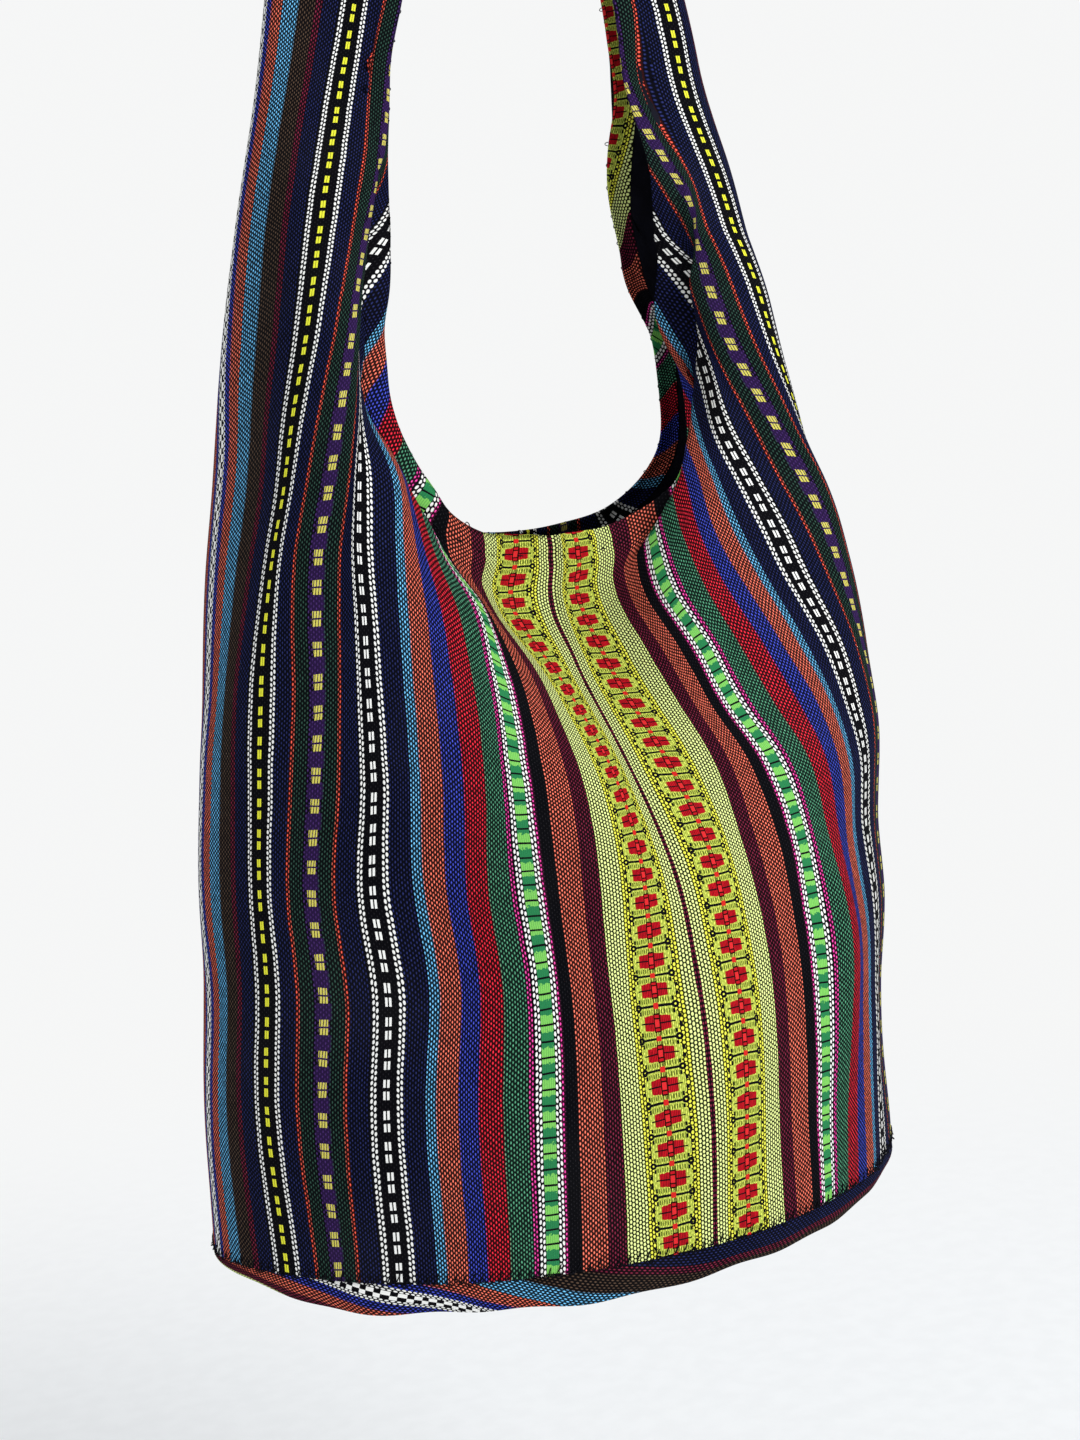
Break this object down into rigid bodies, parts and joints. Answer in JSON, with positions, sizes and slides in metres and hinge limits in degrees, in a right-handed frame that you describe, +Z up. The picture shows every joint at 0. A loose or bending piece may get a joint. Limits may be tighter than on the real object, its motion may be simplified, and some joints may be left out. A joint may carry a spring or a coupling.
{
  "type": "hobo sling bag",
  "caption": "Soft round-based shoulder bag of warp-striped cotton with a wide strap in one with the body, hanging open from a peg.",
  "frame": {"origin": "the point under the middle of the strap, on its lining, where a peg or hook carries the hanging bag", "axes": "+Z up, -Y out of the front of the bag, +X to the right of someone facing its front; the strap lies in the XZ plane"},
  "size_m": [0.3006, 0.258, 0.9098],
  "materials": {
    "striped_cloth": "matt warp-faced cotton weave in many colours on black weft",
    "lining_cloth": "matt plain black cotton"
  },
  "bodies": {
    "root": {"outer_front": "striped_cloth", "outer_back": "striped_cloth", "outer_strap_left": "striped_cloth", "outer_strap_right": "striped_cloth", "outer_base": "striped_cloth", "lining_front": "lining_cloth", "lining_back": "lining_cloth", "lining_strap_left": "lining_cloth", "lining_strap_right": "lining_cloth", "lining_base": "lining_cloth"}
  },
  "joints": []
}
